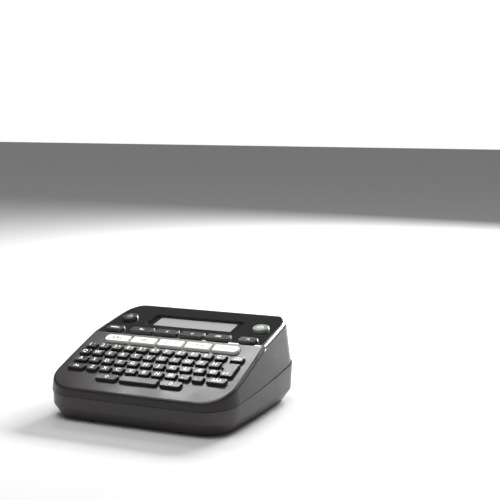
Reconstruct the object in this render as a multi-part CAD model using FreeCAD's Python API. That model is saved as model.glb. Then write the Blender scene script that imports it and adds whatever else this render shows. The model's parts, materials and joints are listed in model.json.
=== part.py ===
import FreeCAD, Part
import math
import os

V = FreeCAD.Vector

# ---------------------------------------------------------------- driving sizes, in millimetres
# The label maker stands on the plane z = 0 with its keyboard towards -Y.
HALF_WIDTH = 78.5
HALF_DEPTH = 74.5
SIDE_BOW = 900.0  # radius of the slightly bowed left and right sides
FRONT_BOW = 3500.0
REAR_BOW = 900.0
FRONT_CORNER = 26.0
REAR_CORNER = 30.0
WALL = 2.4
GAP = 0.3  # running clearance between pieces of different bodies

DECK_TOP_Z = 53.6  # where the keyboard deck meets the display panel
DECK_TOP_Y = 1.8
DECK_SLOPE = 0.372
DISPLAY_SLOPE = 0.2
REAR_ROUND = 14.5
RIM_FILLET = 2.6
PARTING_Z = 18.9  # height of the parting line at the front
PARTING_SLOPE = 0.09
CREASE_Z = 10.1  # below this the lower case turns in towards its base
BASE_Z = 1.2
BASE_INSET = 8.0
FOOT_SUNK = 0.5
TOP_DRAFT = 6.4  # by which the upper case narrows up to TOP_Z
TOP_Z = 70.0
LOWER_DRAFT = 1.2
LIP = 0.45  # the upper case stands proud of the lower one by this much
SEAM = 0.55

PANEL_THICK = 2.0
PANEL_INSET = 8.3  # from the outline of the case
PANEL_REAR_Y = 65.5
PANEL_LAP = 1.2  # by which the panel laps over the top of the keyboard deck
PANEL_FIT = 0.15

KEY_PITCH = 11.05
KEY_FIT = 0.35
KEY_TRAVEL = 1.3
KEY_RISE = 2.2
FLANGE = 0.9
MAT = 1.0
BOARD = 1.6
LETTER_KEY = (9.0, 7.0)
KEY_TAPER = 0.4
WHITE_KEY = (21.7, 8.9)
WHITE_PITCH = 23.3
FUNCTION_KEY = (20.0, 8.6)
FUNCTION_PITCH = 22.1
CORNER_KEY = (15.6, 8.4)
ROUND_KEY = 13.4
SIDE_KEY_X = 57.9  # of the menu, preview and round keys

LCD_VIEW = (64.4, 13.4)
LCD_V = 30.6  # middle of the display along its slope
WINDOW = (78.0, 21.4)

CELL_RADIUS = 7.25
CELL_LENGTH = 50.5
CELL_Z = 11.0
CELL_PITCH = 15.2
CELL_FRONT = -41.0

COVER_HALF_WIDTH = 56.0
COVER_FRONT = -54.0
COVER_REAR = 62.5
COVER_THICK = 1.8
COVER_Z = 1.4
BARREL_RADIUS = 1.4
HINGE_Z = 2.8

CASSETTE = (-40.0, 42.0, -0.6, 59.4, 4.0, 21.0)  # x, y and z limits
SHELL = 1.2
NOTCH = (-21.0, 30.0, 53.5)  # the bay for the print head: right edge, front and rear
TAPE_Y = 44.0
TAPE_Z = (7.2, 19.2)
TAPE_THICK = 0.3
ROLL = (16.0, 23.0)
ROLL_RADIUS = 21.0
RIBBON = (-6.0, 52.0)
RIBBON_RADIUS = 5.0
SLOT_Z = (6.6, 19.8)

FRAME_Z = 22.0
FRAME_THICK = 2.0
MODULE = 0.6
GEAR_WIDTH = 3.0
LOW_GEARS_Z = 24.6
HIGH_GEARS_Z = 28.1
PINION_TEETH = 12
BIG_TEETH = 40
SMALL_TEETH = 14
PLATEN_TEETH = 24
TAKEUP_TEETH = 30
PLATEN_X = -32.0
PLATEN_RADIUS = 5.0
PLATEN = (PLATEN_X, TAPE_Y - GAP - PLATEN_RADIUS)
SHAFT = 1.5
BORE_FIT = 0.05

LEVER_PIVOT = (-69.5, 37.0)
LEVER_Z = (13.0, 21.5)
LEVER_SPAN = (15.0, 35.0)

DECK_ANGLE = math.degrees(math.atan(DECK_SLOPE))
DISPLAY_ANGLE = math.degrees(math.atan(DISPLAY_SLOPE))
PANEL_WALL = WALL + PANEL_THICK


# ---------------------------------------------------------------- basic shapes
def box(x0, x1, y0, y1, z0, z1):
    return Part.makeBox(x1 - x0, y1 - y0, z1 - z0, V(x0, y0, z0))


def rod(radius, x, y, z0, z1):
    return Part.makeCylinder(radius, z1 - z0, V(x, y, z0))


def rod_along_x(radius, x0, x1, y, z):
    return Part.makeCylinder(radius, x1 - x0, V(x0, y, z), V(1, 0, 0))


def rod_along_y(radius, y0, y1, x, z):
    return Part.makeCylinder(radius, y1 - y0, V(x, y0, z), V(0, 1, 0))


def fused(shapes):
    return shapes[0].multiFuse(shapes[1:]).removeSplitter() if len(shapes) > 1 else shapes[0]


def arc(a, b, c):
    return Part.Arc(a, b, c).toShape()


def rounded_wire(width, depth, radius, x=0.0, y=0.0, z=0.0):
    """A rectangle with round corners, centred on x and y; radius is (left, right)."""
    w, d = width / 2, depth / 2
    edges = []
    for sx, sy in ((1, 1), (-1, 1), (-1, -1), (1, -1)):
        r = min(radius[0] if sx < 0 else radius[1], w - 0.01, d - 0.01)
        k = r * (1 - math.sqrt(0.5))
        first = V(x + sx * w, y + sy * (d - r), z)
        middle = V(x + sx * (w - k), y + sy * (d - k), z)
        last = V(x + sx * (w - r), y + sy * d, z)
        if sx * sy < 0:
            first, last = last, first
        edges.append((first, middle, last))
    wire = []
    for here, after in zip(edges, edges[1:] + edges[:1]):
        wire.append(arc(*here))
        wire.append(Part.makeLine(here[2], after[0]))
    return Part.Wire(wire)


def both(radius):
    return radius if isinstance(radius, tuple) else (radius, radius)


def rounded_block(width, depth, radius, z0, z1, x=0.0, y=0.0):
    face = Part.Face(rounded_wire(width, depth, both(radius), x, y, z0))
    return face.extrude(V(0, 0, z1 - z0))


def tapered_block(bottom, top, radius, z0, z1, x, y):
    lower = rounded_wire(bottom[0], bottom[1], both(radius), x, y, z0)
    upper = rounded_wire(top[0], top[1], both(radius), x, y, z1)
    return Part.makeLoft([lower, upper], True, True)


def prism_x(points, x0, x1):
    """A polygon given as (y, z) pairs, carried along X."""
    wire = Part.makePolygon([V(x0, y, z) for y, z in points + points[:1]])
    return Part.Face(wire).extrude(V(x1 - x0, 0, 0))


# ---------------------------------------------------------------- the outline of the case
def circle_meeting(a, ra, b, rb, towards):
    """The point at distance ra from a and rb from b, on the side nearest to a given point."""
    span = math.dist(a, b)
    along = (ra * ra - rb * rb + span * span) / (2 * span)
    across = math.sqrt(ra * ra - along * along)
    ux, uy = (b[0] - a[0]) / span, (b[1] - a[1]) / span
    options = [
        (a[0] + along * ux - side * across * uy, a[1] + along * uy + side * across * ux)
        for side in (1, -1)
    ]
    return min(options, key=lambda p: math.dist(p, towards))


def outline(inset, z):
    """The bowed plan outline at a height: four long arcs and four tangent corner arcs."""
    sides = [
        ((HALF_WIDTH - SIDE_BOW, 0.0), SIDE_BOW, (HALF_WIDTH - inset, 0.0)),
        ((0.0, HALF_DEPTH - REAR_BOW), REAR_BOW, (0.0, HALF_DEPTH - inset)),
        ((SIDE_BOW - HALF_WIDTH, 0.0), SIDE_BOW, (inset - HALF_WIDTH, 0.0)),
        ((0.0, FRONT_BOW - HALF_DEPTH), FRONT_BOW, (0.0, inset - HALF_DEPTH)),
    ]
    radii = [REAR_CORNER, REAR_CORNER, FRONT_CORNER, FRONT_CORNER]
    signs = [(1, 1), (-1, 1), (-1, -1), (1, -1)]
    corners = []
    for i in range(4):
        (ca, ra, _), (cb, rb, _) = sides[i], sides[(i + 1) % 4]
        r = radii[i]
        near = (signs[i][0] * HALF_WIDTH, signs[i][1] * HALF_DEPTH)
        centre = circle_meeting(ca, ra - r, cb, rb - r, near)
        ends = []
        for c in (ca, cb):
            away = math.dist(c, centre)
            ux, uy = (centre[0] - c[0]) / away, (centre[1] - c[1]) / away
            ends.append((centre[0] + (r - inset) * ux, centre[1] + (r - inset) * uy))
        mx = (ends[0][0] + ends[1][0]) / 2 - centre[0]
        my = (ends[0][1] + ends[1][1]) / 2 - centre[1]
        scale = (r - inset) / math.hypot(mx, my)
        corners.append((ends[0], (centre[0] + mx * scale, centre[1] + my * scale), ends[1]))
    edges = []
    for i in range(4):
        before = corners[i - 1]
        edges.append(arc(V(*before[2], z), V(*sides[i][2], z), V(*corners[i][0], z)))
        edges.append(arc(*(V(*p, z) for p in corners[i])))
    return Part.Wire(edges)


def plan_loft(*levels):
    """A solid through the outline at (inset, z) levels."""
    parts = []
    for (inset0, z0), (inset1, z1) in zip(levels, levels[1:]):
        parts.append(Part.makeLoft([outline(inset0, z0), outline(inset1, z1)], True, True))
    return fused(parts) if len(parts) > 1 else parts[0]


def parting(y):
    """The height of the parting line, which rises towards the rear."""
    return PARTING_Z + PARTING_SLOPE * (y + HALF_DEPTH)


def upper_body(wall):
    return plan_loft((wall, PARTING_Z - 3), (wall + TOP_DRAFT, TOP_Z))


def lower_body(wall):
    """The lower case as a solid: upright sides above a crease, turned in below it."""
    rim_z = parting(HALF_DEPTH) + 2
    side = plan_loft((LIP + wall, rim_z), (LIP + LOWER_DRAFT + wall, CREASE_Z))
    turn = plan_loft((LIP + LOWER_DRAFT + wall, CREASE_Z), (BASE_INSET + wall, BASE_Z + wall))
    return fused([side, turn])


def below_parting(lift=0.0):
    y = HALF_DEPTH + 10
    points = [(-y, -10), (y, -10), (y, parting(y) + lift), (-y, parting(-y) + lift)]
    return prism_x(points, -100, 100)


def deck_z(y):
    return DECK_TOP_Z + DECK_SLOPE * (y - DECK_TOP_Y)


def display_z(y):
    return DECK_TOP_Z + DISPLAY_SLOPE * (y - DECK_TOP_Y)


def side_profile(deck_wall, display_wall, rear_wall):
    """Everything under the deck, the display slope and the rounded rear edge, less the walls."""
    deck_drop = deck_wall * math.hypot(1, DECK_SLOPE)
    display_drop = display_wall * math.hypot(1, DISPLAY_SLOPE)
    bend_y = DECK_TOP_Y + (deck_drop - display_drop) / (DECK_SLOPE - DISPLAY_SLOPE)
    bend_z = deck_z(bend_y) - deck_drop
    cy = HALF_DEPTH - REAR_ROUND
    cz = display_z(cy) - REAR_ROUND * math.hypot(1, DISPLAY_SLOPE)
    tilt = math.radians(DISPLAY_ANGLE)
    radius = REAR_ROUND - rear_wall
    depth = REAR_ROUND - display_wall
    run = math.sqrt(max(radius * radius - depth * depth, 0.0))
    top = V(0, cy - depth * math.sin(tilt) + run * math.cos(tilt),
            cz + depth * math.cos(tilt) + run * math.sin(tilt))
    high = math.atan2(top.z - cz, top.y - cy) / 2
    middle = V(0, cy + radius * math.cos(high), cz + radius * math.sin(high))
    rear = V(0, cy + radius, cz)
    front_y = -HALF_DEPTH - 5
    points = [V(0, cy + radius, 0), V(0, front_y, 0),
              V(0, front_y, deck_z(front_y) - deck_drop), V(0, bend_y, bend_z), top]
    edges = [Part.makeLine(a, b) for a, b in zip(points, points[1:])]
    edges.append(arc(top, middle, rear))
    edges.append(Part.makeLine(rear, points[0]))
    face = Part.Face(Part.Wire(edges))
    face.translate(V(-100, 0, 0))
    return face.extrude(V(200, 0, 0))


def on_deck(shape):
    """Carries a shape drawn flat (x, up the slope, out of the surface) onto the keyboard deck."""
    shape = shape.copy()
    shape.Placement = FreeCAD.Placement(
        V(0, DECK_TOP_Y, DECK_TOP_Z), FreeCAD.Rotation(V(1, 0, 0), DECK_ANGLE))
    return shape


def on_display(shape):
    shape = shape.copy()
    shape.Placement = FreeCAD.Placement(
        V(0, DECK_TOP_Y, DECK_TOP_Z), FreeCAD.Rotation(V(1, 0, 0), DISPLAY_ANGLE))
    return shape


# ---------------------------------------------------------------- keys
# Every key is (name of its sub-part, x, distance up its slope, width, depth, corner radius).
ROW_V = (-23.5, -33.3, -43.2, -53.1, -63.0)  # the five rows, measured down from the display panel
WHITE_V = -11.2
FUNCTION_V = 4.9
CORNER_V = 4.7
ROUND_V = 29.0
LETTER_CORNER = 1.6
WIDE_CORNER = 2.4


def key_row(name, count, first_x, v):
    width, depth = LETTER_KEY
    return [(name, first_x + i * KEY_PITCH, v, width, depth, LETTER_CORNER) for i in range(count)]


DECK_KEYS = (
    key_row("number_row_keys", 11, -62.6, ROW_V[0])
    + key_row("top_row_keys", 11, -63.0, ROW_V[1])
    + key_row("home_row_keys", 10, -49.1, ROW_V[2])
    + key_row("bottom_row_keys", 9, -45.4, ROW_V[3])
)
DECK_KEYS += [
    ("home_row_keys", -60.9, ROW_V[2], 11.4, LETTER_KEY[1], LETTER_CORNER),
    ("backspace_key", 61.2, ROW_V[0], 10.6, LETTER_KEY[1], LETTER_CORNER),
    ("caps_key", -59.2, ROW_V[3], 14.6, LETTER_KEY[1], WIDE_CORNER),
    ("accent_key", 57.6, ROW_V[3], 15.6, LETTER_KEY[1], WIDE_CORNER),
    ("left_shift_key", -27.4, ROW_V[4], 18.2, 7.4, 2.8),
    ("space_key", -0.6, ROW_V[4], 31.4, 7.4, LETTER_CORNER),
    ("right_shift_key", 25.6, ROW_V[4], 17.6, 7.4, 2.8),
]
WHITE_NAMES = ("text_key", "frame_key", "symbol_key", "settings_key", "library_key")
WHITE_ROUND = 3.6  # the outer ends of the first and the last key
WHITE_SQUARE = 1.1
WHITE_CORNERS = [(WHITE_ROUND, WHITE_SQUARE)] + [WHITE_SQUARE] * 3 + [(WHITE_SQUARE, WHITE_ROUND)]
DECK_KEYS += [
    (name, (i - 2) * WHITE_PITCH, WHITE_V, WHITE_KEY[0], WHITE_KEY[1], WHITE_CORNERS[i])
    for i, name in enumerate(WHITE_NAMES)
]
ENTER_TOP = (60.1, ROW_V[1], 12.8, LETTER_KEY[1])
ENTER_LOW = (61.5, ROW_V[2], 10.0, LETTER_KEY[1])

FUNCTION_NAMES = ("escape_key", "left_key", "right_key", "ok_key")
DISPLAY_KEYS = [
    (name, (i - 1.5) * FUNCTION_PITCH - 0.4, FUNCTION_V, FUNCTION_KEY[0], FUNCTION_KEY[1], 1.8)
    for i, name in enumerate(FUNCTION_NAMES)
]
DISPLAY_KEYS += [
    ("menu_key", -SIDE_KEY_X, CORNER_V, CORNER_KEY[0], CORNER_KEY[1], (3.6, 2.4)),
    ("preview_key", SIDE_KEY_X, CORNER_V, CORNER_KEY[0], CORNER_KEY[1], (2.4, 3.6)),
    ("power_key", -SIDE_KEY_X, ROUND_V, ROUND_KEY, ROUND_KEY, ROUND_KEY / 2),
    ("print_key", SIDE_KEY_X, ROUND_V, ROUND_KEY, ROUND_KEY, ROUND_KEY / 2),
]


def key_solid(x, v, width, depth, corner, wall):
    """A cap with sloping sides, a shank through the wall and a flange below it."""
    base = (width, depth)
    top = (width - 2 * KEY_TAPER, depth - 2 * KEY_TAPER)
    cap = tapered_block(base, top, corner, 0.0, KEY_RISE, x, v)
    shank = rounded_block(width, depth, corner, -wall - GAP, 0.0, x, v)
    rim = rounded_block(width + 1.3, depth + 1.3, corner, -wall - GAP - FLANGE, -wall - GAP, x, v)
    return fused([cap, shank, rim])


def key_hole(x, v, width, depth, corner, wall):
    grow = 2 * KEY_FIT
    corners = tuple(radius + KEY_FIT for radius in both(corner))
    return rounded_block(width + grow, depth + grow, corners, -wall - 3, 3, x, v)


def enter_wire(grow, z):
    """The outline of the L-shaped return key, two rows tall."""
    right = ENTER_TOP[0] + ENTER_TOP[2] / 2 + grow
    left_top = ENTER_TOP[0] - ENTER_TOP[2] / 2 - grow
    left_low = ENTER_LOW[0] - ENTER_LOW[2] / 2 - grow
    high = ENTER_TOP[1] + ENTER_TOP[3] / 2 + grow
    step = ENTER_TOP[1] - ENTER_TOP[3] / 2 - grow
    low = ENTER_LOW[1] - ENTER_LOW[3] / 2 - grow
    points = [(right, high), (left_top, high), (left_top, step),
              (left_low, step), (left_low, low), (right, low)]
    return Part.makePolygon([V(x, y, z) for x, y in points + points[:1]])


def enter_block(grow, z0, z1, radius):
    block = Part.Face(enter_wire(grow, z0)).extrude(V(0, 0, z1 - z0))
    upright = [e for e in block.Edges if abs(e.Length - abs(z1 - z0)) < 1e-6
               and abs(e.Vertexes[0].Z - e.Vertexes[1].Z) > 1e-6]
    return block.makeFillet(radius, upright)


def enter_solid():
    cap = enter_block(0.0, 0.0, KEY_RISE, 1.2)
    edges = [e for e in cap.Edges if e.BoundBox.ZMin > KEY_RISE - 1e-6]
    cap = cap.makeChamfer(KEY_TAPER, edges)
    shank = enter_block(0.0, -WALL - GAP, 0.0, 1.2)
    rim = enter_block(0.65, -WALL - GAP - FLANGE, -WALL - GAP, 1.2)
    return fused([cap, shank, rim])


def make_keys():
    keys = {}
    for name, x, v, width, depth, corner in DECK_KEYS:
        keys.setdefault(name, []).append(on_deck(key_solid(x, v, width, depth, corner, WALL)))
    for name, x, v, width, depth, corner in DISPLAY_KEYS:
        keys.setdefault(name, []).append(
            on_display(key_solid(x, v, width, depth, corner, PANEL_WALL)))
    keys["enter_key"] = [on_deck(enter_solid())]
    return {name: Part.makeCompound(solids) for name, solids in keys.items()}


def deck_holes():
    holes = [key_hole(*key[1:], WALL) for key in DECK_KEYS]
    holes.append(enter_block(KEY_FIT, -WALL - 3, 3, 1.2))
    return on_deck(Part.makeCompound(holes))


def display_holes():
    return on_display(Part.makeCompound([key_hole(*key[1:], PANEL_WALL) for key in DISPLAY_KEYS]))


# ---------------------------------------------------------------- the two half shells
SCREWS = [(-50.0, -59.8), (50.0, -59.8), (-61.5, 55.5), (61.5, 55.5)]
FOOT_RADIUS = 3.5
FEET = [(-37.0, -61.0), (37.0, -61.0), (-62.5, 36.0), (62.5, 36.0)]
JACK_X = 48.5
JACK_Z = 18.0
FRAME_POSTS = [(-61.0, 3.5), (61.0, 3.5), (-62.3, 48.2), (62.3, 48.2)]


def boss_top(y):
    """Where a screw boss of the upper case ends, inside its wall."""
    return deck_z(y) - WALL / 2 if y < DECK_TOP_Y else display_z(y) - PANEL_WALL + 1


def panel_skin(grow):
    """The gloss panel: a skin of even thickness that follows the display slope and the rear edge."""
    deep = PANEL_THICK + grow / 10
    skin = side_profile(0, 0, 0).cut(side_profile(deep, deep, deep))
    plan = Part.Face(outline(PANEL_INSET - grow, 20)).extrude(V(0, 0, 80))
    strip = box(-100, 100, DECK_TOP_Y - PANEL_LAP - grow, PANEL_REAR_Y + grow, PARTING_Z, 100)
    return skin.common(plan).common(strip)


def make_upper_case():
    outer = upper_body(0.0).common(side_profile(0, 0, 0))
    rim = [e for e in outer.Edges if e.BoundBox.ZMin > PARTING_Z + 2 and is_rim(e)]
    outer = outer.makeFillet(RIM_FILLET, rim)
    thin_part = box(-100, 100, -100, DECK_TOP_Y - 2.3, 0, 100)
    under_deck = side_profile(WALL, WALL, PANEL_WALL).common(thin_part)
    under_top = fused([side_profile(WALL, PANEL_WALL, PANEL_WALL), under_deck])
    shell = outer.cut(upper_body(WALL).common(under_top))
    bosses = []
    for x, y in SCREWS:
        top = boss_top(y)
        bosses.append(rod(3.4, x, y, parting(y), top).cut(rod(1.5, x, y, 0, top - 4)))
    shell = fused([shell] + bosses)
    shell = shell.cut(below_parting(SEAM))
    shell = shell.cut(deck_holes())
    shell = shell.cut(panel_skin(PANEL_FIT))
    shell = shell.cut(display_holes())
    width, depth = LCD_VIEW
    return shell.cut(on_display(
        rounded_block(width + 4, depth + 4, 1.5, -PANEL_WALL - 2, 5, 0.0, LCD_V)))


def is_rim(edge):
    """True for the edges where the sloping top meets the upright sides."""
    limits = edge.BoundBox
    crosses = limits.XLength > 1.5 * HALF_WIDTH and limits.YLength < 0.01
    return not crosses


def make_lower_case():
    outer = lower_body(0.0)
    shell = outer.cut(lower_body(WALL)).common(below_parting())
    posts = []
    for x, y in SCREWS:
        posts.append(rod(3.8, x, y, BASE_Z + 0.5, parting(y)))
    for x, y in FRAME_POSTS:
        posts.append(rod(2.6, x, y, BASE_Z + 1.0, FRAME_Z))
    shell = fused([shell] + [p.common(outer) for p in posts])
    cuts = [rod(1.6, x, y, -1, 40) for x, y in SCREWS]
    cuts += [rod(3.2, x, y, -1, BASE_Z + 3.0) for x, y in SCREWS]
    cuts += [rod(FOOT_RADIUS + 0.1, x, y, -1, BASE_Z + FOOT_SUNK) for x, y in FEET]
    cuts += [cover_hole(), tape_slot(), lever_hole(), jack_hole()]
    return shell.cut(Part.makeCompound(cuts))


def cover_hole():
    edge = COVER_HALF_WIDTH + GAP
    front = COVER_FRONT - BARREL_RADIUS - GAP
    return box(-edge, edge, front, COVER_REAR + GAP, -1, BASE_Z + WALL + 1)


def tape_slot():
    return box(-85, -66, TAPE_Y - 2.6, TAPE_Y + 2.8, *SLOT_Z)


def lever_hole():
    y0, y1 = LEVER_SPAN
    return box(-85, -71.5, y0 - 1.3, y1 + 0.4, LEVER_Z[0] - 0.4, LEVER_Z[1] + 0.4)


def jack_hole():
    return rod_along_y(4.6, 60, 90, JACK_X, JACK_Z)


def make_panel():
    panel = panel_skin(0.0).cut(display_holes())
    width, depth = WINDOW
    pocket = rounded_block(width + 0.3, depth + 0.3, 2.6, -1.4, 2, 0.0, LCD_V)
    width, depth = LCD_VIEW
    through = rounded_block(width + 4, depth + 4, 1.5, -5, 2, 0.0, LCD_V)
    return panel.cut(on_display(fused([pocket, through])))


def make_window():
    width, depth = WINDOW
    return on_display(rounded_block(width, depth, 2.5, -1.4, -0.3, 0.0, LCD_V))


def make_lcd():
    width, depth = LCD_VIEW
    glass = rounded_block(width + 3.6, depth + 3.6, 1.2, -PANEL_WALL - 0.1, -1.5, 0.0, LCD_V)
    tray = rounded_block(width + 9, depth + 8, 1.2, -PANEL_WALL - 3, -PANEL_WALL - 0.1, 0.0, LCD_V)
    return on_display(fused([glass, tray]))


# ---------------------------------------------------------------- boards and mats behind the keys
def mat_level(wall):
    return -wall - GAP - FLANGE - KEY_TRAVEL - GAP


def boss_clearance():
    """Room around the screw bosses that stand in front of the keyboard."""
    return Part.makeCompound([rod(4.2, x, y, 0, 60) for x, y in SCREWS[:2]])


def make_deck_layers():
    top = mat_level(WALL)
    front = ROW_V[4] - 4.6
    rear = WHITE_V + 6.2
    middle = (front + rear) / 2
    mat = rounded_block(136.0, rear - front, 14.0, top - MAT, top, 0.0, middle)
    under = top - MAT - BOARD
    board = rounded_block(138.0, rear - front, 14.0, under, top - MAT, 0.0, middle)
    chip = box(-12, 12, middle - 12, middle + 12, under - 2.5, under)
    room = boss_clearance()
    return on_deck(mat).cut(room), on_deck(fused([board, chip])).cut(room)


def make_display_layers():
    top = mat_level(PANEL_WALL)
    mat = rounded_block(136.0, 37.6, 4.0, top - MAT, top, 0.0, 19.9)
    half_width, half_depth = LCD_VIEW[0] / 2 + 4.9, LCD_VIEW[1] / 2 + 4.4
    mat = mat.cut(box(-half_width, half_width, LCD_V - half_depth, 40, -20, 5))
    board = rounded_block(138.0, 43.0, 8.0, top - MAT - BOARD, top - MAT, 0.0, 22.0)
    return on_display(mat), on_display(board)


# ---------------------------------------------------------------- base cover, feet and screws
def make_cover():
    front = COVER_FRONT
    plate = box(-COVER_HALF_WIDTH, COVER_HALF_WIDTH, front, COVER_REAR, COVER_Z,
                COVER_Z + COVER_THICK)
    barrel = rod_along_x(BARREL_RADIUS, -COVER_HALF_WIDTH, COVER_HALF_WIDTH, front, HINGE_Z)
    pins = rod_along_x(0.9, -COVER_HALF_WIDTH - 1.6, COVER_HALF_WIDTH + 1.6, front, HINGE_Z)
    latch = box(-8, 8, COVER_REAR - 1.6, COVER_REAR, COVER_Z + COVER_THICK, 7.0)
    notch = rod(7.0, 0, COVER_REAR + 3.0, COVER_Z - 1, COVER_Z + 1.0)
    ribs = [box(-14, 14, y, y + 1.0, COVER_Z - 1, COVER_Z + 0.4)
            for y in (COVER_REAR - 10, COVER_REAR - 12.2, COVER_REAR - 14.4, COVER_REAR - 16.6)]
    return fused([plate, barrel, pins, latch]).cut(Part.makeCompound([notch] + ribs))


def hinge_sockets():
    """Two small ears that carry the pins of the cover, less their bores."""
    ears = []
    for side in (-1, 1):
        x0, x1 = sorted((side * (COVER_HALF_WIDTH + GAP), side * (COVER_HALF_WIDTH + 3.2)))
        ear = box(x0, x1, COVER_FRONT - 2.4, COVER_FRONT + 2.4, BASE_Z + 0.2, HINGE_Z + 2.2)
        ears.append(ear)
    bore = rod_along_x(0.9 + BORE_FIT, -COVER_HALF_WIDTH - 2.2, COVER_HALF_WIDTH + 2.2,
                       COVER_FRONT, HINGE_Z)
    return ears, bore


def make_feet():
    return Part.makeCompound([rod(FOOT_RADIUS, x, y, 0, BASE_Z + FOOT_SUNK) for x, y in FEET])


def make_screws():
    screws = []
    for x, y in SCREWS:
        head = rod(2.9, x, y, BASE_Z + 1.2, BASE_Z + 3.0)
        shank = rod(1.45, x, y, BASE_Z + 3.0, min(parting(y) + 10, boss_top(y) - 4.2))
        cross = [box(x - 1.6, x + 1.6, y - 0.3, y + 0.3, 0, BASE_Z + 2.1),
                 box(x - 0.3, x + 0.3, y - 1.6, y + 1.6, 0, BASE_Z + 2.1)]
        screws.append(fused([head, shank]).cut(Part.makeCompound(cross)))
    return Part.makeCompound(screws)


# ---------------------------------------------------------------- power
def cell_places():
    for row in range(3):
        for side in (-1, 1):
            yield side, CELL_FRONT + row * CELL_PITCH


def make_cells():
    cells = []
    for side, y in cell_places():
        centre = side * (CELL_LENGTH / 2 + 1.0)
        can = rod_along_x(CELL_RADIUS, centre - CELL_LENGTH / 2 + 1.0, centre + CELL_LENGTH / 2 - 1.2,
                          y, CELL_Z)
        nub = rod_along_x(2.7, centre + CELL_LENGTH / 2 - 1.2, centre + CELL_LENGTH / 2, y, CELL_Z)
        base = rod_along_x(5.2, centre - CELL_LENGTH / 2, centre - CELL_LENGTH / 2 + 1.0, y, CELL_Z)
        cells.append(fused([can, nub, base]))
    return Part.makeCompound(cells)


def tray_limits():
    reach = CELL_LENGTH + 1.0
    front = CELL_FRONT - CELL_PITCH / 2 - 0.4
    rear = CELL_FRONT + 2.5 * CELL_PITCH + 0.4
    return reach, front, rear


def make_tray():
    reach, front, rear = tray_limits()
    outer = box(-reach - 3.2, reach + 3.2, front - 1.2, rear + 1.2, 4.0, 20.0)
    inner = box(-reach - 1.6, reach + 1.6, front, rear, 3.0, 18.6)
    tray = outer.cut(inner)
    divider = box(-0.6, 0.6, front, rear, 14.0, 19.0)
    return fused([tray, divider])


def make_contacts():
    reach = tray_limits()[0]
    contacts = []
    for side, y in cell_places():
        x0, x1 = sorted((side * (reach + 0.05), side * (reach + 1.55)))
        plate = box(x0 if side > 0 else x1 - 0.5, x0 + 0.5 if side > 0 else x1,
                    y - 4.5, y + 4.5, CELL_Z - 4.5, CELL_Z + 4.5)
        bump = rod_along_x(3.0, x0, x1, y, CELL_Z)
        contacts.append(fused([plate, bump]))
    return Part.makeCompound(contacts)


def make_jack():
    rear = HALF_DEPTH - LIP - LOWER_DRAFT - WALL - 2.3
    body = box(JACK_X - 5.0, JACK_X + 5.0, rear - 11, rear, JACK_Z - 5.2, JACK_Z + 5.2)
    nose = rod_along_y(4.4, rear, rear + 3.9, JACK_X, JACK_Z)
    body = fused([body, nose]).cut(rod_along_y(2.8, rear - 9, rear + 5, JACK_X, JACK_Z))
    pin = rod_along_y(0.85, rear - 10, rear + 1.0, JACK_X, JACK_Z)
    return fused([body, pin])


# ---------------------------------------------------------------- gears
def gear(teeth, z0, z1, turn=0.0):
    """A spur gear with involute flanks, its first tooth centred on the angle turn."""
    pitch = MODULE * teeth / 2
    base = pitch * math.cos(math.radians(20))
    tip = pitch + 0.92 * MODULE
    root = pitch - 1.25 * MODULE

    def involute(r):
        return math.tan(math.acos(base / r)) - math.acos(base / r)

    half = math.pi / (2 * teeth) - 0.05 / pitch + involute(pitch)
    radii = [max(base, root) + (tip - max(base, root)) * i / 4 for i in range(5)]
    points = []
    for tooth in range(teeth):
        middle = turn + 2 * math.pi * tooth / teeth
        left = [(r, middle - half + involute(r)) for r in radii]
        right = [(r, middle + half - involute(r)) for r in reversed(radii)]
        foot = [(root, middle - half)] if root < base else []
        heel = [(root, middle + half)] if root < base else []
        points += foot + left + right + heel
    corners = [V(r * math.cos(a), r * math.sin(a), z0) for r, a in points]
    wire = Part.makePolygon(corners + corners[:1])
    return Part.Face(wire).extrude(V(0, 0, z1 - z0))


def direction(a, b):
    return math.atan2(b[1] - a[1], b[0] - a[0])


def meshing_turn(first_turn, first_teeth, second_teeth, heading):
    """The turn that puts a gap of the second gear on the first gear's tooth."""
    return (heading + math.pi - (first_turn - heading) * first_teeth / second_teeth
            + math.pi / second_teeth)


def pitch_distance(a, b):
    return MODULE * (a + b) / 2


REDUCTION = (PLATEN[0] - pitch_distance(PLATEN_TEETH, SMALL_TEETH) * math.cos(math.radians(69)),
             PLATEN[1] - pitch_distance(PLATEN_TEETH, SMALL_TEETH) * math.sin(math.radians(69)))
MOTOR = (REDUCTION[0] - pitch_distance(PINION_TEETH, BIG_TEETH) * math.cos(math.radians(17)),
         REDUCTION[1] - pitch_distance(PINION_TEETH, BIG_TEETH) * math.sin(math.radians(17)))
TAKEUP = (REDUCTION[0] + pitch_distance(TAKEUP_TEETH, SMALL_TEETH) * math.cos(math.radians(-40)),
          REDUCTION[1] + pitch_distance(TAKEUP_TEETH, SMALL_TEETH) * math.sin(math.radians(-40)))
MOTOR_RADIUS = 9.5


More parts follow.
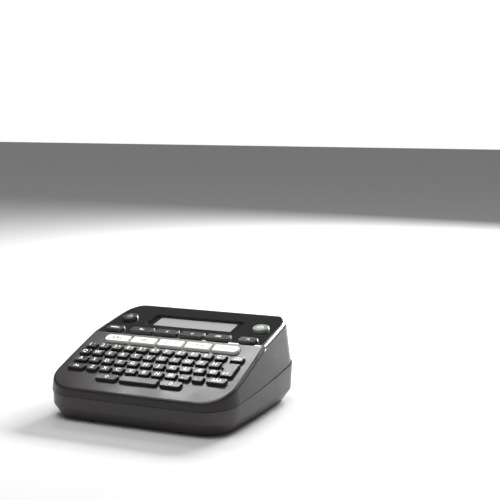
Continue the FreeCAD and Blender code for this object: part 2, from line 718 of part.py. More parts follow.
def make_gears():
    small_turn = 0.0
    big_turn = 0.0
    platen_turn = meshing_turn(small_turn, SMALL_TEETH, PLATEN_TEETH, direction(REDUCTION, PLATEN))
    takeup_turn = meshing_turn(small_turn, SMALL_TEETH, TAKEUP_TEETH, direction(REDUCTION, TAKEUP))
    pinion_turn = meshing_turn(big_turn, BIG_TEETH, PINION_TEETH, direction(REDUCTION, MOTOR))
    low = (LOW_GEARS_Z, LOW_GEARS_Z + GEAR_WIDTH)
    high = (HIGH_GEARS_Z, HIGH_GEARS_Z + GEAR_WIDTH)
    sets = {
        "motor_pinion": [gear(PINION_TEETH, *high, pinion_turn)],
        "reduction_gear": [gear(SMALL_TEETH, low[0], high[0], small_turn),
                           gear(BIG_TEETH, *high, big_turn)],
        "platen_gear": [gear(PLATEN_TEETH, *low, platen_turn)],
        "takeup_gear": [gear(TAKEUP_TEETH, *low, takeup_turn)],
    }
    places = {"motor_pinion": MOTOR, "reduction_gear": REDUCTION,
              "platen_gear": PLATEN, "takeup_gear": TAKEUP}
    out = {}
    for name, parts in sets.items():
        shape = fused(parts)
        shape.translate(V(*places[name], 0))
        out[name] = shape
    bottom = FRAME_Z - 17.0
    platen_shaft = rod(SHAFT, *PLATEN, bottom, LOW_GEARS_Z)
    out["platen_gear"] = fused([out["platen_gear"], platen_shaft])
    spindle = rod(SHAFT, *TAKEUP, 6.0, LOW_GEARS_Z)
    out["takeup_gear"] = fused([out["takeup_gear"], spindle])
    out["reduction_gear"] = out["reduction_gear"].cut(rod(1.0 + BORE_FIT, *REDUCTION, 0, 60))
    out["motor_pinion"] = fused([out["motor_pinion"], rod(1.0, *MOTOR, 21.0, HIGH_GEARS_Z)])
    return out


# ---------------------------------------------------------------- printing works
def make_frame():
    plate = box(-65, 65, -1, 51, FRAME_Z, FRAME_Z + FRAME_THICK)
    plate = plate.makeFillet(5.0, [e for e in plate.Edges if e.BoundBox.ZLength > 1])
    axle = rod(1.0, *REDUCTION, FRAME_Z, HIGH_GEARS_Z + GEAR_WIDTH + 1.2)
    hub = rod(2.4, *REDUCTION, FRAME_Z, LOW_GEARS_Z - 0.2)
    lever_post = rod(1.5, *LEVER_PIVOT, 7.5, FRAME_Z + 0.6)
    lug = rod(4.0, *LEVER_PIVOT, FRAME_Z, FRAME_Z + FRAME_THICK)
    px, py = LEVER_PIVOT
    tie = box(px, -62, py - 4, py + 4, FRAME_Z, FRAME_Z + FRAME_THICK)
    frame = fused([plate, axle, hub, lug, tie, lever_post])
    holes = [rod(SHAFT + BORE_FIT, *PLATEN, 0, 60), rod(SHAFT + BORE_FIT, *TAKEUP, 0, 60)]
    holes += [rod(1.0 + BORE_FIT, *MOTOR, 0, 60)]
    holes += [rod(1.3, x, y, 0, 60) for x, y in FRAME_POSTS]
    return frame.cut(Part.makeCompound(holes))


def make_motor():
    can = rod(MOTOR_RADIUS, *MOTOR, 4.6, FRAME_Z - 0.2)
    return can.cut(rod(1.0 + BORE_FIT, *MOTOR, 20.0, 30))


def make_head():
    ceramic = box(PLATEN[0] - 4.5, PLATEN[0] + 4.5, TAPE_Y + 0.6, TAPE_Y + 1.4, 6.0, FRAME_Z)
    sink = box(PLATEN[0] - 5.5, PLATEN[0] + 5.5, TAPE_Y + 1.4, TAPE_Y + 4.4, 5.4, FRAME_Z)
    fins = [box(PLATEN[0] - 5.5 + 2.4 * i, PLATEN[0] - 4.5 + 2.4 * i, TAPE_Y + 4.4, TAPE_Y + 7.0,
                5.4, FRAME_Z - 1) for i in range(5)]
    return ceramic, fused([sink] + fins)


def make_anvil():
    """The fixed shear plate beside the path of the label, which the blade passes."""
    return box(-57.6, -56.2, TAPE_Y + 1.0, TAPE_Y + 6.0, 5.6, FRAME_Z)


def make_platen_rubber():
    return rod(PLATEN_RADIUS, *PLATEN, 6.4, 20.4).cut(rod(SHAFT, *PLATEN, 0, 40))


def cassette_notch(grow=0.0):
    x0 = CASSETTE[0]
    return box(x0 - 5, NOTCH[0] + grow, NOTCH[1] - grow, NOTCH[2] + grow, 0, 40)


def make_cassette():
    x0, x1, y0, y1, z0, z1 = CASSETTE
    split = 14.0
    outer = box(x0, x1, y0, y1, z0, z1)
    outer = outer.makeFillet(4.0, [e for e in outer.Edges if e.BoundBox.ZLength > 1])
    inner = box(x0 + SHELL, x1 - SHELL, y0 + SHELL, y1 - SHELL, z0 + SHELL, z1 - SHELL)
    inner = inner.cut(cassette_notch(SHELL))
    body = outer.cut(cassette_notch()).cut(inner)
    body = body.cut(box(NOTCH[0] - 4, NOTCH[0] + 6, TAPE_Y - 1.2, TAPE_Y + 1.6, *SLOT_Z))
    spindles = [rod(2.3, *TAKEUP, z0 - 1, z1 + 1)]
    body = body.cut(Part.makeCompound(spindles))
    pegs = [rod(2.0, *ROLL, z0 + 0.5, z1 - 0.5), rod(1.5, *RIBBON, z0 + 0.5, z1 - 0.5)]
    body = fused([body] + pegs)
    lower = body.common(box(-100, 100, -100, 100, 0, split))
    upper = body.common(box(-100, 100, -100, 100, split, 40))
    return upper, lower


def make_spools():
    z0, z1 = TAPE_Z
    core = rod(9.0, *ROLL, z0 - 1.2, z1 - 0.2).cut(rod(2.0 + 0.08, *ROLL, 0, 40))
    roll = rod(ROLL_RADIUS, *ROLL, z0, z1 - 0.4).cut(rod(9.0, *ROLL, 0, 40))
    ribbon = rod(RIBBON_RADIUS, *RIBBON, z0, z1).cut(rod(1.5 + 0.08, *RIBBON, 0, 40))
    takeup = rod(6.2, *TAKEUP, z0, z1).cut(rod(SHAFT, *TAKEUP, 0, 40))
    return core, roll, ribbon, takeup


def make_label():
    return box(-55.0, ROLL[0] - 6.0, TAPE_Y + 0.02, TAPE_Y + 0.02 + TAPE_THICK, *TAPE_Z)


# ---------------------------------------------------------------- cutter
def make_lever(lower_outer):
    """A bell crank: a flush paddle in the left side and an arm that carries the blade."""
    px, py = LEVER_PIVOT
    z0, z1 = LEVER_Z
    y0, y1 = LEVER_SPAN
    paddle = lower_outer.common(box(-85, -74.4, y0, y1, z0, z1))
    web = box(-75.5, px, y1 - 8, y1 - 3, z0, z1)
    link = box(px - 3, px, y1 - 8, py, z0, z1)
    hub = rod(3.2, px, py, z0, z1)
    arm = box(px, -58.0, py - 1.6, py + 1.6, z0 + 1, z1 - 1)
    lever = fused([paddle, web, link, hub, arm])
    return lever.cut(rod(1.5 + BORE_FIT, px, py, 0, 40))


def make_blade():
    px, py = LEVER_PIVOT
    foot = box(-59.6, -58.0, py + 1.6, py + 3.0, 6.6, LEVER_Z[1] - 1)
    edge = [(py + 3.0, 6.6), (py + 3.0, LEVER_Z[1] - 1), (py + 4.4, LEVER_Z[1] - 1), (py + 4.0, 6.6)]
    sharp = prism_x(edge, -59.0, -58.3)
    return fused([foot, sharp])


# ---------------------------------------------------------------- put together
def build():
    nodes = {"upper_case": make_upper_case()}
    ears, bore = hinge_sockets()
    nodes["lower_case"] = fused([make_lower_case()] + ears).cut(bore)
    nodes["display_panel"] = make_panel()
    nodes["display_window"] = make_window()
    nodes["lcd_module"] = make_lcd()
    nodes["keyboard_mat"], nodes["keyboard_board"] = make_deck_layers()
    nodes["function_mat"], nodes["display_board"] = make_display_layers()
    nodes["tape_cover"] = make_cover()
    nodes["rubber_feet"] = make_feet()
    nodes["case_screws"] = make_screws()
    nodes["batteries"] = make_cells()
    nodes["battery_tray"] = make_tray()
    nodes["battery_contacts"] = make_contacts()
    nodes["dc_jack"] = make_jack()
    nodes["mech_frame"] = make_frame()
    nodes["drive_motor"] = make_motor()
    nodes["print_head"], nodes["head_heatsink"] = make_head()
    nodes["cutter_anvil"] = make_anvil()
    nodes["platen_rubber"] = make_platen_rubber()
    nodes["cassette_upper"], nodes["cassette_lower"] = make_cassette()
    spools = make_spools()
    nodes["tape_core"], nodes["tape_roll"], nodes["ribbon_spool"], nodes["takeup_spool"] = spools
    nodes["label_strip"] = make_label()
    nodes["cutter_lever"] = make_lever(lower_body(0.0))
    nodes["cutter_blade"] = make_blade()
    nodes.update(make_gears())
    nodes.update(make_keys())
    return nodes


os.makedirs("parts", exist_ok=True)
for node, shape in build().items():
    shape.exportStep(f"parts/{node}.step")
    print(node, len(shape.Solids), round(shape.Volume, 1), shape.isValid())
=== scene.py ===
import json
import math
import bmesh
import bpy
from mathutils import Matrix, Vector


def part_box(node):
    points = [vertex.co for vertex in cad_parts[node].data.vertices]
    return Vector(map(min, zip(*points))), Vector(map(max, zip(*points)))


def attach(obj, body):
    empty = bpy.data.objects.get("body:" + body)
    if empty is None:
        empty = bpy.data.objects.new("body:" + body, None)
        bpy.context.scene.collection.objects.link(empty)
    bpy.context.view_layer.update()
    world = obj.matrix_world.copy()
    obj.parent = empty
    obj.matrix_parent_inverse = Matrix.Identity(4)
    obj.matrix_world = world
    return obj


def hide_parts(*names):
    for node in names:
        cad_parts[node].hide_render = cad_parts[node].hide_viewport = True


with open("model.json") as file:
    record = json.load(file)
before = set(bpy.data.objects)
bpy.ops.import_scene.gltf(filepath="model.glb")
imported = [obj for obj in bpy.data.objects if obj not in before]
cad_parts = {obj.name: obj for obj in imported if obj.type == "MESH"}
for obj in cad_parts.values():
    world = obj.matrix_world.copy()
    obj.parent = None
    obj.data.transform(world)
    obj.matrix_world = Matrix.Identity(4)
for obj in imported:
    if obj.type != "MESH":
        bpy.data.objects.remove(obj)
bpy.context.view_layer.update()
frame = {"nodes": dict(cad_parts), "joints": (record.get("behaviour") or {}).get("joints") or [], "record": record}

SLOTS = {entry["node"]: entry["material_slot"] for entry in frame["record"]["subparts"]}
MM = 0.001

# ---------------------------------------------------------------- sizes of the visible details, in metres
KEY_RISE = 2.2 * MM  # how far a cap stands out of its surface
FLANGE_GROW = 0.65 * MM  # how far the flange under a cap reaches past it
FLANGE = 0.9 * MM
CAP_DRAFT = 0.32 * MM  # how far a cap's sides lean in
CAP_ROUND = 0.45 * MM
CAP_DISH = 0.06 * MM
DISH_RIM = 0.35 * MM
DISH_FLAT = 0.9 * MM
WHITE_GAP = 0.5 * MM
LEAST_RADIUS = 0.15 * MM
RADIUS_ROOM = 0.01 * MM
CELL_GAP = 0.1 * MM  # keys of one row stand further apart than this
ENTER_FOOT = 3 * MM  # height of the return key that surely belongs to its narrow lower half
ENTER_LOW = 2 * MM
SHARP_EDGE = math.radians(35)
CORNER_STEPS = 6
ROUND_STEPS = 4
CIRCLE_STEPS = 24

INK = 0.03 * MM  # how far printing stands out of the plastic
BOLD = 0.06 * MM
MARK_BOLD = 0.03 * MM
STROKE = 0.42 * MM
LETTER_SIZE = 4.9 * MM
LETTER_UP = 0.2 * MM
LETTER_ASIDE = 0.3 * MM
LETTER_ASIDE_MARKED = 1.4 * MM
MARK_SIZE = 2.6 * MM
MARK_ASIDE = 2.0 * MM
MARK_UP = 0.9 * MM
ENTER_ICON_UP = 4.2 * MM

DOT_PITCH = 0.62 * MM
DOT_GAP = 0.05 * MM
CELL_RING = 12 * MM
PARTING_Z = 18.9 * MM  # height of the parting line at the front
PARTING_SLOPE = 0.09  # the line rises to the rear
HALF_DEPTH = 74.5 * MM
# half-height of the band around the parting line whose faces get painted shade
SEAM_SHADE_BAND = 1.2 * MM
FLOOR_SIZE = 6.0

CAMERA_PLACE = (0.3885, -0.7387, 0.227)
CAMERA_FORWARD = (-0.40205, 0.90700, -0.12533)
CAMERA_RIGHT = (0.91410, 0.40548, 0.00200)
CAMERA_LENS = 79.2
CAMERA_SHIFT = (0.00224, 0.00075)

ROWS = {
    "number_row_keys": "1234567890Ç",
    "top_row_keys": "QWERTYUIOPÑ",
    "home_row_keys": "ASDFGHJKLÆØ",
    "bottom_row_keys": "ZXCVBNM,.",
}
NUMBER_MARKS = "!\"#$%&/()=?"
BOTTOM_MARKS = {",": ";", ".": ":"}
WHITE_KEYS = ("text_key", "frame_key", "symbol_key", "settings_key", "library_key")
CORNER_RADII = {  # in millimetres, left and right
    "enter_key": (1.2, 1.2), "caps_key": (2.4, 2.4), "accent_key": (2.4, 2.4),
    "left_shift_key": (2.8, 2.8), "right_shift_key": (2.8, 2.8),
    "escape_key": (1.8, 1.8), "left_key": (1.8, 1.8), "right_key": (1.8, 1.8), "ok_key": (1.8, 1.8),
    "menu_key": (3.6, 2.4), "preview_key": (2.4, 3.6), "power_key": (6.7, 6.7), "print_key": (6.7, 6.7),
    "text_key": (3.6, 1.1), "frame_key": (1.1, 1.1), "symbol_key": (1.1, 1.1), "settings_key": (1.1, 1.1),
    "library_key": (1.1, 3.6),
}
LETTER_RADII = (1.6, 1.6)


# ---------------------------------------------------------------- materials
def new_material(name, colour, roughness):
    material = bpy.data.materials.new(name)
    material.use_nodes = True
    shader = material.node_tree.nodes["Principled BSDF"]
    shader.inputs["Base Color"].default_value = (*colour, 1.0)
    shader.inputs["Roughness"].default_value = roughness
    return material, material.node_tree, shader


def noise(tree, size, detail=2.0):
    """Object-space noise whose features are about the given size in metres."""
    place = tree.nodes.new("ShaderNodeTexCoord")
    texture = tree.nodes.new("ShaderNodeTexNoise")
    texture.inputs["Scale"].default_value = 1.0 / size
    texture.inputs["Detail"].default_value = detail
    tree.links.new(place.outputs["Object"], texture.inputs["Vector"])
    return texture.outputs["Fac"]


def spread(tree, value, low, high, new_low, new_high):
    remap = tree.nodes.new("ShaderNodeMapRange")
    remap.inputs["From Min"].default_value = low
    remap.inputs["From Max"].default_value = high
    remap.inputs["To Min"].default_value = new_low
    remap.inputs["To Max"].default_value = new_high
    tree.links.new(value, remap.inputs["Value"])
    return remap.outputs["Result"]


def tint(tree, factor, first, second):
    mix = tree.nodes.new("ShaderNodeMix")
    mix.data_type = "RGBA"
    mix.inputs["A"].default_value = (*first, 1.0)
    mix.inputs["B"].default_value = (*second, 1.0)
    tree.links.new(factor, mix.inputs["Factor"])
    return mix.outputs["Result"]


def add_bump(tree, shader, height, depth):
    bump = tree.nodes.new("ShaderNodeBump")
    bump.inputs["Strength"].default_value = 1.0
    bump.inputs["Distance"].default_value = depth
    tree.links.new(height, bump.inputs["Height"])
    tree.links.new(bump.outputs["Normal"], shader.inputs["Normal"])


def plastic(name, colour, roughness, grain=0.35 * MM, depth=0.012 * MM, varies=0.05, gleam=0.5):
    """Moulded plastic: fine spark-eroded grain, slow changes of gloss and of colour."""
    material, tree, shader = new_material(name, colour, roughness)
    shader.inputs["Specular IOR Level"].default_value = gleam
    if depth > 0:
        add_bump(tree, shader, noise(tree, grain, 3.0), depth)
    gloss = spread(tree, noise(tree, 25 * MM), 0.3, 0.7, roughness - varies, roughness + varies)
    tree.links.new(gloss, shader.inputs["Roughness"])
    paler = [min(1.0, c * 1.12 + 0.002) for c in colour]
    tree.links.new(tint(tree, noise(tree, 8 * MM), colour, paler), shader.inputs["Base Color"])
    return material


def metal(name, colour, roughness, brushed=True):
    material, tree, shader = new_material(name, colour, roughness)
    shader.inputs["Metallic"].default_value = 1.0
    size = 0.15 * MM if brushed else 2 * MM
    gloss = spread(tree, noise(tree, size, 4.0), 0.3, 0.7, roughness - 0.08, roughness + 0.1)
    tree.links.new(gloss, shader.inputs["Roughness"])
    return material


def display_glass(name):
    """A reflective character display: grey-green ground with a faint grid of dots."""
    material, tree, shader = new_material(name, (0.34, 0.345, 0.335), 0.35)
    place = tree.nodes.new("ShaderNodeTexCoord")
    grid = tree.nodes.new("ShaderNodeTexBrick")
    grid.offset = 0.0
    grid.inputs["Scale"].default_value = 1.0
    grid.inputs["Mortar Size"].default_value = DOT_GAP
    grid.inputs["Brick Width"].default_value = DOT_PITCH
    grid.inputs["Row Height"].default_value = DOT_PITCH
    grid.inputs["Color1"].default_value = (0.345, 0.350, 0.340, 1.0)
    grid.inputs["Color2"].default_value = (0.335, 0.342, 0.332, 1.0)
    grid.inputs["Mortar"].default_value = (0.385, 0.392, 0.378, 1.0)
    tree.links.new(place.outputs["Object"], grid.inputs["Vector"])
    tree.links.new(grid.outputs["Color"], shader.inputs["Base Color"])
    return material


def clear_window(name):
    material, _, shader = new_material(name, (0.02, 0.02, 0.02), 0.04)
    shader.inputs["Alpha"].default_value = 0.12
    return material


def cell_sleeve(name):
    """A printed sleeve: dark body with a pale ring at one end."""
    material, tree, shader = new_material(name, (0.05, 0.06, 0.09), 0.3)
    place = tree.nodes.new("ShaderNodeTexCoord")
    split = tree.nodes.new("ShaderNodeSeparateXYZ")
    tree.links.new(place.outputs["Object"], split.inputs["Vector"])
    low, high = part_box("batteries")
    middle = (low[0] + high[0]) / 2
    reach = (high[0] - low[0]) / 2
    fold = tree.nodes.new("ShaderNodeMath")
    fold.operation = "PINGPONG"
    fold.inputs[1].default_value = reach
    shift = tree.nodes.new("ShaderNodeMath")
    shift.operation = "SUBTRACT"
    shift.inputs[1].default_value = middle
    tree.links.new(split.outputs["X"], shift.inputs[0])
    tree.links.new(shift.outputs["Value"], fold.inputs[0])
    ring = spread(tree, fold.outputs["Value"], reach - CELL_RING, reach - CELL_RING + 0.4 * MM, 0.0, 1.0)
    colour = tint(tree, ring, (0.04, 0.05, 0.08), (0.55, 0.56, 0.58))
    tree.links.new(colour, shader.inputs["Base Color"])
    shader.inputs["Metallic"].default_value = 0.4
    return material


def circuit_board(name):
    material, tree, shader = new_material(name, (0.02, 0.14, 0.06), 0.3)
    traces = noise(tree, 1.2 * MM, 0.0)
    lines = spread(tree, traces, 0.49, 0.51, 0.0, 1.0)
    colour = tint(tree, lines, (0.015, 0.12, 0.05), (0.03, 0.2, 0.08))
    tree.links.new(colour, shader.inputs["Base Color"])
    return material


MATERIALS = {
    "shell_top": plastic("deck_charcoal", (0.012, 0.0098, 0.010), 0.31, depth=0.008 * MM, gleam=0.38),
    "shell_base": plastic("base_charcoal", (0.034, 0.0275, 0.029), 0.40, grain=0.45 * MM),
    "gloss_black": plastic("panel_gloss", (0.006, 0.006, 0.0065), 0.09, depth=0.0, varies=0.02),
    "window": clear_window("window_smoke"),
    "lcd": display_glass("display_grey"),
    "key_dark": plastic("key_charcoal", (0.012, 0.011, 0.0112), 0.30, 0.3 * MM, 0.005 * MM, gleam=0.42),
    "key_white": plastic("key_ivory", (0.66, 0.635, 0.59), 0.42, depth=0.005 * MM, gleam=0.3),
    "key_print": plastic("key_green_grey", (0.13, 0.15, 0.12), 0.30, depth=0.006 * MM),
    "foot_rubber": plastic("foot_rubber", (0.02, 0.02, 0.02), 0.8, depth=0.03 * MM),
    "steel": metal("steel", (0.62, 0.62, 0.63), 0.3),
    "aluminium": metal("aluminium", (0.78, 0.78, 0.79), 0.38),
    "board_green": circuit_board("board_green"),
    "silicone": plastic("silicone_grey", (0.35, 0.35, 0.35), 0.7),
    "cell": cell_sleeve("cell_sleeve"),
    "contact": metal("nickel", (0.75, 0.73, 0.68), 0.2, brushed=False),
    "motor_can": metal("zinc_can", (0.5, 0.5, 0.5), 0.4, brushed=False),
    "gear_white": plastic("acetal", (0.80, 0.80, 0.76), 0.45),
    "inner_black": plastic("inner_black", (0.02, 0.02, 0.02), 0.55),
    "cassette_grey": plastic("cassette_grey", (0.28, 0.29, 0.30), 0.42),
    "label_tape": plastic("label_white", (0.86, 0.86, 0.84), 0.4, depth=0.0),
    "ribbon": plastic("ribbon_black", (0.012, 0.012, 0.012), 0.25, depth=0.0),
    "ceramic": plastic("ceramic", (0.75, 0.72, 0.64), 0.25, depth=0.0),
    "platen_rubber": plastic("platen_rubber", (0.03, 0.03, 0.03), 0.75),
}
# near-black paint for the painted shade inside the gap between the shells, not a colour of the plastic
SEAM_SHADE_PAINT = plastic("seam_painted_shade", (0.002, 0.002, 0.002), 0.8, depth=0.0, gleam=0.1)
INKS = {
    "white": plastic("ink_white", (0.82, 0.82, 0.80), 0.5, depth=0.0),
    "grey": plastic("ink_grey", (0.05, 0.05, 0.055), 0.5, depth=0.0),
    "pale": plastic("ink_pale", (0.45, 0.46, 0.45), 0.5, depth=0.0),
}


def paint_seam_shade(node):
    """The faces inside the gap between the two shells are painted near-black: painted shade standing in for the
    shadow inside the gap.
    """
    mesh = frame["nodes"][node].data
    mesh.materials.append(SEAM_SHADE_PAINT)
    for polygon in mesh.polygons:
        corners = [mesh.vertices[i].co for i in polygon.vertices]
        if all(abs(v.z - PARTING_Z - PARTING_SLOPE * (v.y + HALF_DEPTH)) < SEAM_SHADE_BAND for v in corners):
            polygon.material_index = 1


def paint_frame():
    for node, slot in SLOTS.items():
        materials = frame["nodes"][node].data.materials
        materials.clear()
        materials.append(MATERIALS[slot])
    # painted shade along the parting line of both shells
    paint_seam_shade("upper_case")
    paint_seam_shade("lower_case")


# ---------------------------------------------------------------- places of the keys, read from the frame
class Surface:
    """The plane of a key: X across, up along its slope and out of its surface."""

    def __init__(self, node):
        bodies = frame["record"]["behaviour"]["bodies"]
        self.joint = next(j for j in frame["joints"] if node in bodies[j["child"]])
        self.body = self.joint["child"]
        out = -Vector(self.joint["axis"]).normalized()
        across = Vector((1, 0, 0))
        self.turn = Matrix((across, out.cross(across), out)).transposed()
        back = self.turn.transposed()
        points = [back @ v.co for v in frame["nodes"][node].data.vertices]
        self.low = [min(p[i] for p in points) for i in range(3)]
        self.high = [max(p[i] for p in points) for i in range(3)]

    def world(self, x, v, w):
        return self.turn @ Vector((x, v, w))

    def matrix(self, x, v, w):
        return Matrix.Translation(self.world(x, v, w)) @ self.turn.to_4x4()


def key_cells(node):
    """The surface of a node and the (x, v, width, depth) of each of its caps, from left to right."""
    surface = Surface(node)
    mesh = frame["nodes"][node].data
    back = surface.turn.transposed()
    across = [(back @ v.co).x for v in mesh.vertices]
    runs = sorted(sorted(across[i] for i in edge.vertices) for edge in mesh.edges)
    spans = [list(runs[0])]
    for start, end in runs[1:]:
        if start > spans[-1][1] + CELL_GAP:
            spans.append([start, end])
        else:
            spans[-1][1] = max(spans[-1][1], end)
    depth = surface.high[1] - surface.low[1] - 2 * FLANGE_GROW
    middle = (surface.high[1] + surface.low[1]) / 2
    return surface, [((a + b) / 2, middle, b - a - 2 * FLANGE_GROW, depth) for a, b in spans]


# ---------------------------------------------------------------- cap shapes
def rounded_polygon(points, inset, radii):
    """A right-angled outline moved inwards, with its corners rounded."""
    count = len(points)
    moved = []
    for i in range(count):
        before = (points[i] - points[i - 1]).normalized()
        after = (points[(i + 1) % count] - points[i]).normalized()
        shift = Vector((-before.y, before.x)) + Vector((-after.y, after.x))
        moved.append((points[i] + shift * inset, before, after, radii[i]))
    ring = []
    for corner, before, after, radius in moved:
        convex = before.x * after.y - before.y * after.x > 0
        r = max(radius - inset, LEAST_RADIUS) if convex else radius + inset
        side = 1 if convex else -1
        start = corner - before * r
        normal = Vector((-before.y, before.x)) * side
        centre = start + normal * r
        for step in range(CORNER_STEPS + 1):
            angle = side * math.pi / 2 * step / CORNER_STEPS
            spoke = Matrix.Rotation(angle, 2) @ (-normal)
            ring.append(centre + spoke * r)
    return ring


def rectangle(x, v, width, depth):
    w, d = width / 2, depth / 2
    return [Vector((x - w, v - d)), Vector((x + w, v - d)), Vector((x + w, v + d)), Vector((x - w, v + d))]


def add_cap(bm, surface, outline, radii):
    """A flange, a shank, a tapered cap with a soft edge and a slightly dished top."""
    bottom = surface.low[2]
    top = surface.high[2]
    deck = top - KEY_RISE
    levels = [
        (-FLANGE_GROW, bottom), (-FLANGE_GROW, bottom + FLANGE), (0.0, bottom + FLANGE), (0.0, deck),
        (CAP_DRAFT, top - CAP_ROUND),
    ]
    for step in range(1, ROUND_STEPS + 1):
        angle = math.pi / 2 * step / ROUND_STEPS
        inset = CAP_DRAFT + CAP_ROUND * (1 - math.cos(angle))
        levels.append((inset, top - CAP_ROUND * (1 - math.sin(angle))))
    edge = levels[-1][0]
    levels += [(edge + DISH_RIM, top - CAP_DISH * 0.4), (edge + DISH_FLAT, top - CAP_DISH)]
    rings = []
    for inset, w in levels:
        loop = [bm.verts.new(surface.world(p.x, p.y, w)) for p in rounded_polygon(outline, inset, radii)]
        rings.append(loop)
    count = len(rings[0])
    for lower, upper in zip(rings, rings[1:]):
        for i in range(count):
            j = (i + 1) % count
            bm.faces.new((lower[i], lower[j], upper[j], upper[i]))
    bm.faces.new(rings[-1])
    bm.faces.new(list(reversed(rings[0])))


def finish_piece(bm, name, material, body):
    bmesh.ops.recalc_face_normals(bm, faces=bm.faces)
    mesh = bpy.data.meshes.new(name)
    bm.to_mesh(mesh)
    bm.free()
    mesh.shade_smooth()
    mesh.set_sharp_from_angle(angle=SHARP_EDGE)
    mesh.materials.append(material)
    piece = bpy.data.objects.new(name, mesh)
    bpy.context.scene.collection.objects.link(piece)
    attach(piece, body)
    return piece


def enter_outline(surface):
    """The L of the return key: its lower half is narrower and flush with the right edge."""
    points = [v.co for v in frame["nodes"]["enter_key"].data.vertices]
    back = surface.turn.transposed()
    flat = [back @ p for p in points]
    left = surface.low[0] + FLANGE_GROW
    right = surface.high[0] - FLANGE_GROW
    low = surface.low[1] + FLANGE_GROW
    high = surface.high[1] - FLANGE_GROW
    inner = min(p.x for p in flat if p.y < low + ENTER_FOOT) + FLANGE_GROW
    step = min(p.y for p in flat if p.x < left + FLANGE_GROW / 2) + FLANGE_GROW / 5
    step = max(step, low + ENTER_LOW)
    corners = [(inner, low), (right, low), (right, high), (left, high), (left, step), (inner, step)]
    return [Vector(c) for c in corners]


def make_caps():
    for node in [n for nodes in frame["record"]["behaviour"]["bodies"].values() for n in nodes]:
        if not node.endswith(("_key", "_keys")):
            continue
        surface, cells = key_cells(node)
        left, right = (r * MM for r in CORNER_RADII.get(node, LETTER_RADII))
        bm = bmesh.new()
        if node == "enter_key":
            add_cap(bm, surface, enter_outline(surface), [left] * 6)
        else:
            for x, v, width, depth in cells:
                most = min(width, depth) / 2 - RADIUS_ROOM
                radii = [min(r, most) for r in (left, right, right, left)]
                width -= WHITE_GAP if node in WHITE_KEYS else 0.0
                add_cap(bm, surface, rectangle(x, v, width, depth), radii)
        slot = SLOTS[node]
        piece = finish_piece(bm, node + "_caps", MATERIALS[slot], surface.body)
        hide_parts(node)


# ---------------------------------------------------------------- printing on the keys
def text_mesh(text, size, bold):
    curve = bpy.data.curves.new("glyph", "FONT")
    curve.body = text
    curve.size = size
    curve.align_x = "CENTER"
    curve.align_y = "CENTER"
    curve.extrude = INK
    curve.offset = bold
    curve.resolution_u = 4
    holder = bpy.data.objects.new("glyph", curve)
    mesh = bpy.data.meshes.new_from_object(holder)
    bpy.data.objects.remove(holder)
    bpy.data.curves.remove(curve)
    return mesh


def add_text(bm, text, size, matrix, bold=BOLD):
    mesh = text_mesh(text, size, bold)
    mesh.transform(matrix)
    bm.from_mesh(mesh)
    bpy.data.meshes.remove(mesh)


def add_stroke(bm, points, closed, matrix):
    """A line icon, from points in millimetres: flat bars that run on by half their width at both ends."""
    points = [Vector(p) * MM for p in points]
    ends = points[1:] + points[:1] if closed else points[1:]
    for a, b in zip(points, ends):
        along = (b - a).normalized() * STROKE / 2
        side = Vector((-along.y, along.x))
        corners = [a - along - side, b + along - side, b + along + side, a - along + side]
        low = [bm.verts.new(matrix @ Vector((p.x, p.y, -INK))) for p in corners]
        high = [bm.verts.new(matrix @ Vector((p.x, p.y, INK))) for p in corners]
        bm.faces.new(high)
        bm.faces.new(list(reversed(low)))
        for i in range(4):
            bm.faces.new((low[i], low[(i + 1) % 4], high[(i + 1) % 4], high[i]))


def circle(radius, start=0.0, end=360.0, centre=(0.0, 0.0)):
    turns = [start + (end - start) * i / CIRCLE_STEPS for i in range(CIRCLE_STEPS + 1)]
    angles = [math.radians(turn) for turn in turns]
    return [(centre[0] + radius * math.cos(a), centre[1] + radius * math.sin(a)) for a in angles]


def oblong(left, right, low, high):
    return [(left, high), (right, high), (right, low), (left, low)]


SHIFT_ARROW = [(0, 1.7), (-1.5, 0.1), (-0.7, 0.1), (-0.7, -1.5), (0.7, -1.5), (0.7, 0.1), (1.5, 0.1)]
BACK_ARROW = [(-2.6, 0), (-1.2, 1.3), (2.6, 1.3), (2.6, -1.3), (-1.2, -1.3)]
ICONS = {  # runs of points in millimetres, and whether each closes
    "backspace_key": [
        (BACK_ARROW, True), ([(-0.2, 0.6), (1.2, -0.6)], False), ([(-0.2, -0.6), (1.2, 0.6)], False),
    ],
    "enter_key": [
        ([(1.8, 1.4), (1.8, -0.4), (-1.8, -0.4)], False), ([(-0.7, 0.6), (-1.8, -0.4), (-0.7, -1.4)], False),
    ],
    "left_shift_key": [(SHIFT_ARROW, True)],
    "right_shift_key": [(SHIFT_ARROW, True)],
    "left_key": [([(0.7, 1.1), (-0.8, 0), (0.7, -1.1)], True)],
    "right_key": [([(-0.7, 1.1), (0.8, 0), (-0.7, -1.1)], True)],
    "frame_key": [
        (oblong(-1.8, 1.8, -1.3, 1.3), True), ([(-1.0, 0), (1.0, 0)], False), ([(0, 0.8), (0, -0.8)], False),
    ],
    "symbol_key": [(oblong(-4.2, 4.2, -1.5, 1.5), True)],
    "settings_key": [
        (oblong(-4.6, -0.6, -1.3, 1.3), True),
        ([(1.0, 0), (2.4, 0)], False),
        (oblong(3.4, 4.8, -1.2, 1.2), True),
    ],
    "library_key": [
        ([(-4.4, 1.4), (3.6, 1.4)], False),
        ([(-4.4, 0), (1.0, 0)], False),
        ([(-4.4, -1.4), (4.4, -1.4)], False),
    ],
    "preview_key": [(circle(1.1, centre=(-0.4, 0.4)), False), ([(0.4, -0.4), (1.6, -1.6)], False)],
    "power_key": [(circle(2.1, 120, 420), False), ([(0, 2.6), (0, 0.4)], False)],
    "print_key": [
        (oblong(-2.2, 2.2, -1.4, 0.8), True), ([(-1.3, 0.8), (-1.3, 2.2), (1.3, 2.2), (1.3, 0.8)], False),
    ],
}
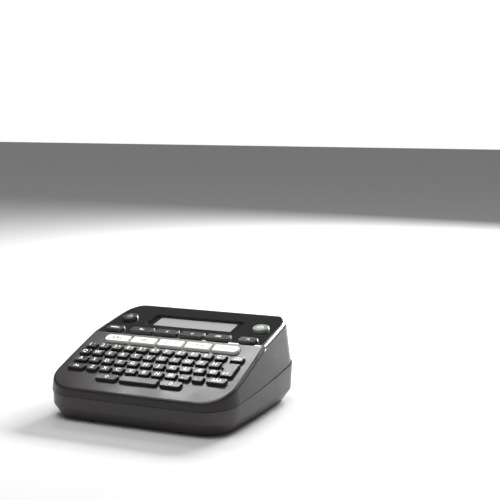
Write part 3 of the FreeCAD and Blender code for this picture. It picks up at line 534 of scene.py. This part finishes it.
WORDS = {  # text and its height in millimetres
    "caps_key": ("Aa", 4.2), "accent_key": ("ÁÄÅ", 3.9), "text_key": ("A\u00b7B\u00b7C", 4.2),
    "menu_key": ("Menu", 3.4), "escape_key": ("Esc", 3.4), "ok_key": ("OK", 3.4),
}


def make_printing():
    for node, letters in ROWS.items():
        surface, cells = key_cells(node)
        level = surface.high[2] - CAP_DISH
        bm = bmesh.new()
        for index, (letter, (x, v, _, _)) in enumerate(zip(letters, cells)):
            mark = NUMBER_MARKS[index] if node == "number_row_keys" else BOTTOM_MARKS.get(letter)
            aside = LETTER_ASIDE_MARKED if mark else LETTER_ASIDE
            add_text(bm, letter, LETTER_SIZE, surface.matrix(x - aside, v + LETTER_UP, level))
            if mark:
                add_text(bm, mark, MARK_SIZE, surface.matrix(x + MARK_ASIDE, v + MARK_UP, level), MARK_BOLD)
        finish_piece(bm, node + "_print", INKS["white"], surface.body)
    for node in sorted(set(ICONS) | set(WORDS)):
        surface, cells = key_cells(node)
        x, v = cells[0][:2]
        if node == "enter_key":
            v = surface.low[1] + ENTER_ICON_UP
        matrix = surface.matrix(x, v, surface.high[2] - CAP_DISH)
        ink = INKS["grey"] if node in WHITE_KEYS else INKS["white"]
        bm = bmesh.new()
        for points, closed in ICONS.get(node, []):
            add_stroke(bm, points, closed, matrix)
        if node in WORDS:
            text, size = WORDS[node]
            add_text(bm, text, size * MM, matrix)
        finish_piece(bm, node + "_print", ink, surface.body)


# ---------------------------------------------------------------- camera, floor and light
def make_camera():
    data = bpy.data.cameras.new("camera")
    data.lens = CAMERA_LENS
    data.sensor_width = 36.0
    data.shift_x, data.shift_y = CAMERA_SHIFT
    data.clip_start = 0.01
    camera = bpy.data.objects.new("camera", data)
    forward = Vector(CAMERA_FORWARD).normalized()
    right = Vector(CAMERA_RIGHT).normalized()
    up = right.cross(forward)
    turn = Matrix((right, up, -forward)).transposed().to_4x4()
    camera.matrix_world = Matrix.Translation(Vector(CAMERA_PLACE)) @ turn
    bpy.context.scene.collection.objects.link(camera)
    bpy.context.scene.camera = camera


def make_floor():
    bm = bmesh.new()
    bmesh.ops.create_grid(bm, x_segments=1, y_segments=1, size=FLOOR_SIZE)
    mesh = bpy.data.meshes.new("floor")
    bm.to_mesh(mesh)
    bm.free()
    material, _, shader = new_material("floor_pale", (0.47, 0.47, 0.47), 1.0)
    shader.inputs["Specular IOR Level"].default_value = 0.0
    mesh.materials.append(material)
    floor = bpy.data.objects.new("floor", mesh)
    bpy.context.scene.collection.objects.link(floor)


def add_softbox(name, place, target, size, power):
    data = bpy.data.lights.new(name, "AREA")
    data.shape = "RECTANGLE"
    data.size, data.size_y = size
    data.energy = power
    lamp = bpy.data.objects.new(name, data)
    aim = (Vector(target) - Vector(place)).to_track_quat("-Z", "Y")
    lamp.matrix_world = Matrix.Translation(Vector(place)) @ aim.to_matrix().to_4x4()
    bpy.context.scene.collection.objects.link(lamp)


def make_world():
    """An even white room, darker above the horizon and paler again overhead."""
    world = bpy.data.worlds.new("studio")
    world.use_nodes = True
    bpy.context.scene.world = world
    tree = world.node_tree
    back = tree.nodes["Background"]
    place = tree.nodes.new("ShaderNodeTexCoord")
    split = tree.nodes.new("ShaderNodeSeparateXYZ")
    ramp = tree.nodes.new("ShaderNodeValToRGB")
    tree.links.new(place.outputs["Generated"], split.inputs["Vector"])
    tree.links.new(split.outputs["Z"], ramp.inputs["Fac"])
    tree.links.new(ramp.outputs["Color"], back.inputs["Color"])
    stops = ((0.0, 1.0), (0.17, 1.0), (0.30, 0.13), (0.52, 0.13), (0.68, 0.30), (1.0, 0.6))
    while len(ramp.color_ramp.elements) < len(stops):
        ramp.color_ramp.elements.new(0.5)
    for element, (position, level) in zip(ramp.color_ramp.elements, stops):
        element.position = position
        element.color = (level, level, level, 1.0)
    back.inputs["Strength"].default_value = 1.0


def make_light():
    middle = (0.0, 0.0, 0.03)
    add_softbox("overhead", (-0.1, -0.3, 1.25), middle, (0.9, 0.7), 11.5)
    add_softbox("rear", (0.15, 1.15, 0.68), middle, (0.70, 0.30), 50.0)
    add_softbox("sheen", (-0.165, 0.225, 0.41), (0.04, -0.08, 0.03), (0.24, 0.06), 0.85)
    view = bpy.context.scene.view_settings
    view.view_transform = "Standard"
    view.look = "None"


paint_frame()
make_caps()
make_printing()
make_camera()
make_floor()
make_world()
make_light()
